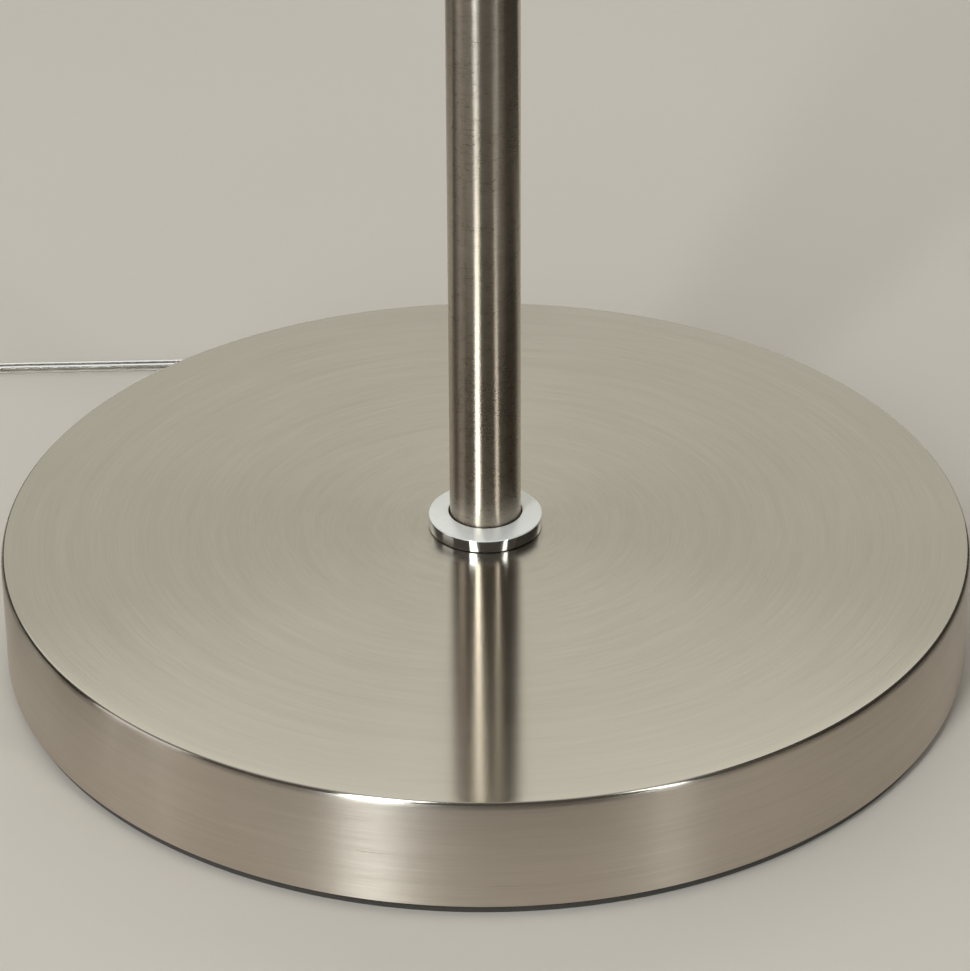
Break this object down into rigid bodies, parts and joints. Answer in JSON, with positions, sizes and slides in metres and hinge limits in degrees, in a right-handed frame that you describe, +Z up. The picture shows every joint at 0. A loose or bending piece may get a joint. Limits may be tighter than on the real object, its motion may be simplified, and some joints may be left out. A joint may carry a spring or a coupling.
{
  "type": "torchiere floor lamp",
  "caption": "Tall floor lamp with a round weighted base, a brushed tube pole, a frosted glass uplighter bowl, and a flat lead with a foot switch and a plug.",
  "frame": {"origin": "on the floor, at the centre of the round base", "axes": "+Z up along the pole, -Y towards the front, +X to the right seen from the front; the lead leaves the base at the back, 27 degrees to the left"},
  "size_m": [0.433, 0.3518, 1.8002],
  "materials": {
    "satin_nickel": "satin nickel plate, brushed in circles on the base and round the pole",
    "chrome": "polished chrome plate",
    "cast_iron": "rough black casting",
    "zinc_steel": "zinc plated steel",
    "black_paint": "black paint on steel plate",
    "felt": "dark grey foam-backed felt",
    "clear_pvc": "clear soft PVC over two stranded conductors",
    "black_plastic": "black moulded plastic",
    "white_plastic": "white moulded plastic",
    "grey_plastic": "grey moulded plastic",
    "silicone": "translucent white silicone",
    "opal_glass": "acid-frosted opal glass",
    "bulb_white": "white diffuser",
    "brass": "plain brass"
  },
  "bodies": {
    "lamp": {"base_cover": "satin_nickel", "pole_lower": "satin_nickel", "pole_middle": "satin_nickel", "pole_upper": "satin_nickel", "bowl_cup": "satin_nickel", "foot_ring": "chrome", "joint_ring_lower": "chrome", "joint_ring_middle": "chrome", "base_weight": "cast_iron", "plate_screw_1": "zinc_steel", "plate_screw_2": "zinc_steel", "plate_screw_3": "zinc_steel", "clamp_washer": "zinc_steel", "clamp_nut": "zinc_steel", "base_nipple": "zinc_steel", "lower_foot_insert": "zinc_steel", "lower_head_insert": "zinc_steel", "middle_foot_insert": "zinc_steel", "middle_head_insert": "zinc_steel", "upper_foot_insert": "zinc_steel", "upper_head_insert": "zinc_steel", "joint_stud_lower": "zinc_steel", "joint_stud_middle": "zinc_steel", "head_nipple": "zinc_steel", "bowl_seat": "zinc_steel", "bowl_washer": "zinc_steel", "bowl_nut": "zinc_steel", "switch_screw_1": "zinc_steel", "switch_screw_2": "zinc_steel", "switch_spring": "zinc_steel", "plug_pin_1": "zinc_steel", "plug_pin_2": "zinc_steel", "base_plate": "black_paint", "base_pad": "felt", "cord_grommet": "clear_pvc", "base_flex": "clear_pvc", "pole_flex": "clear_pvc", "switch_lead": "clear_pvc", "plug_lead": "clear_pvc", "plug_tail": "clear_pvc", "lead_coil": "clear_pvc", "flex_clamp": "black_plastic", "holder_cap": "black_plastic", "holder_skirt": "black_plastic", "switch_block": "black_plastic", "coil_tie": "black_plastic", "holder_insert": "white_plastic", "switch_base": "white_plastic", "switch_cover": "white_plastic", "plug_body": "white_plastic", "gasket_lower": "silicone", "gasket_upper": "silicone", "glass_bowl": "opal_glass", "contact_centre": "brass", "contact_side": "brass"},
    "button": {"switch_button": "grey_plastic"},
    "bulb": {"bulb_tip": "brass", "bulb_thread": "zinc_steel", "bulb_collar": "white_plastic", "bulb_globe": "bulb_white"}
  },
  "joints": [
    {"name": "switch_press", "type": "slide", "parent": "lamp", "child": "button", "axis": [0, 0, -1], "range_m": [0, 0.003], "stiffness_N_per_m": 600, "springref_m": -0.001, "deforming": ["switch_spring"]},
    {"name": "bulb_lift", "type": "slide", "parent": "lamp", "child": "bulb", "axis": [0, 0, 1], "range_m": [0, 0.12]}
  ]
}
